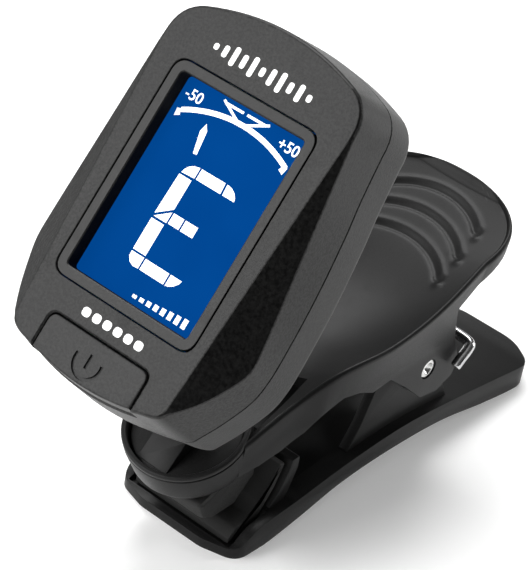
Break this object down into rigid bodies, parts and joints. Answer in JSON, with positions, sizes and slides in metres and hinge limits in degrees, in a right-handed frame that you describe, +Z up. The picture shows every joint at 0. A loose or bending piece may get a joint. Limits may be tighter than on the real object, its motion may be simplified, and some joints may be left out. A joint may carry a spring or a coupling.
{
  "type": "clip-on instrument tuner",
  "caption": "Clip-on instrument tuner: a waisted display head with a power button on a swivelling, tilting post above a sprung clip with padded jaws.",
  "frame": {"origin": "centre of the base rectangle, on the surface the lower arm stands on", "axes": "+Y from the jaws towards the thumb end, +X across the clip to the tuner's right as its display is read, +Z up"},
  "size_m": [0.0302, 0.0802, 0.0621],
  "materials": {
    "shell": "fine textured black",
    "button": "fine textured black",
    "bezel": "gloss black",
    "display": "blue display glass",
    "diffuser": "white diffuser",
    "connector": "striped contact rubber",
    "board": "green laminate",
    "switch": "black body",
    "chip": "black resin",
    "sensor": "brass disc",
    "cell": "nickel plated",
    "contact": "plated spring strip",
    "steel": "bright",
    "arm": "satin black",
    "pad": "black rubber",
    "spring_wire": "bright spring wire"
  },
  "bodies": {
    "lower_arm": {"lower_arm": "arm", "lower_pad": "pad", "hinge_pin": "steel", "clip_spring": "spring_wire"},
    "upper_arm": {"upper_arm": "arm", "upper_pad": "pad"},
    "turret": {"turret": "arm", "turret_screw": "steel", "turret_washer": "steel"},
    "head": {"front_cover": "shell", "display_bezel": "bezel", "lcd_panel": "display", "backlight": "diffuser", "display_connector": "connector", "circuit_board": "board", "button_switch": "switch", "tuner_chip": "chip", "vibration_sensor": "sensor", "coin_cell": "cell", "negative_contact": "contact", "positive_contact": "contact", "rear_cover": "shell", "tilt_pin": "steel", "case_screw_left": "steel", "case_screw_right": "steel"},
    "power_button": {"power_button": "button"},
    "battery_door": {"battery_door": "shell"}
  },
  "joints": [
    {"name": "clip_open", "type": "hinge", "parent": "lower_arm", "child": "upper_arm", "pos_m": [0, 0.0125, 0.013], "axis": [-1, 0, 0], "range_deg": [0, 28], "stiffness_Nm_per_rad": 0.6, "springref_deg": -20.05, "deforming": ["clip_spring"]},
    {"name": "head_swivel", "type": "hinge", "parent": "upper_arm", "child": "turret", "pos_m": [0, -0.0201, 0.0146], "axis": [0, -0.4067, 0.9135], "continuous": true},
    {"name": "head_tilt", "type": "hinge", "parent": "turret", "child": "head", "pos_m": [0, -0.02417, 0.02373], "axis": [1, 0, 0], "range_deg": [-35, 55]},
    {"name": "power_press", "type": "slide", "parent": "head", "child": "power_button", "axis": [0, 0.7986, -0.6018], "range_m": [0, 0.0004], "stiffness_N_per_m": 1500},
    {"name": "battery_door_off", "type": "slide", "parent": "head", "child": "battery_door", "axis": [0, 0.7986, -0.6018], "range_m": [0, 0.005]}
  ]
}
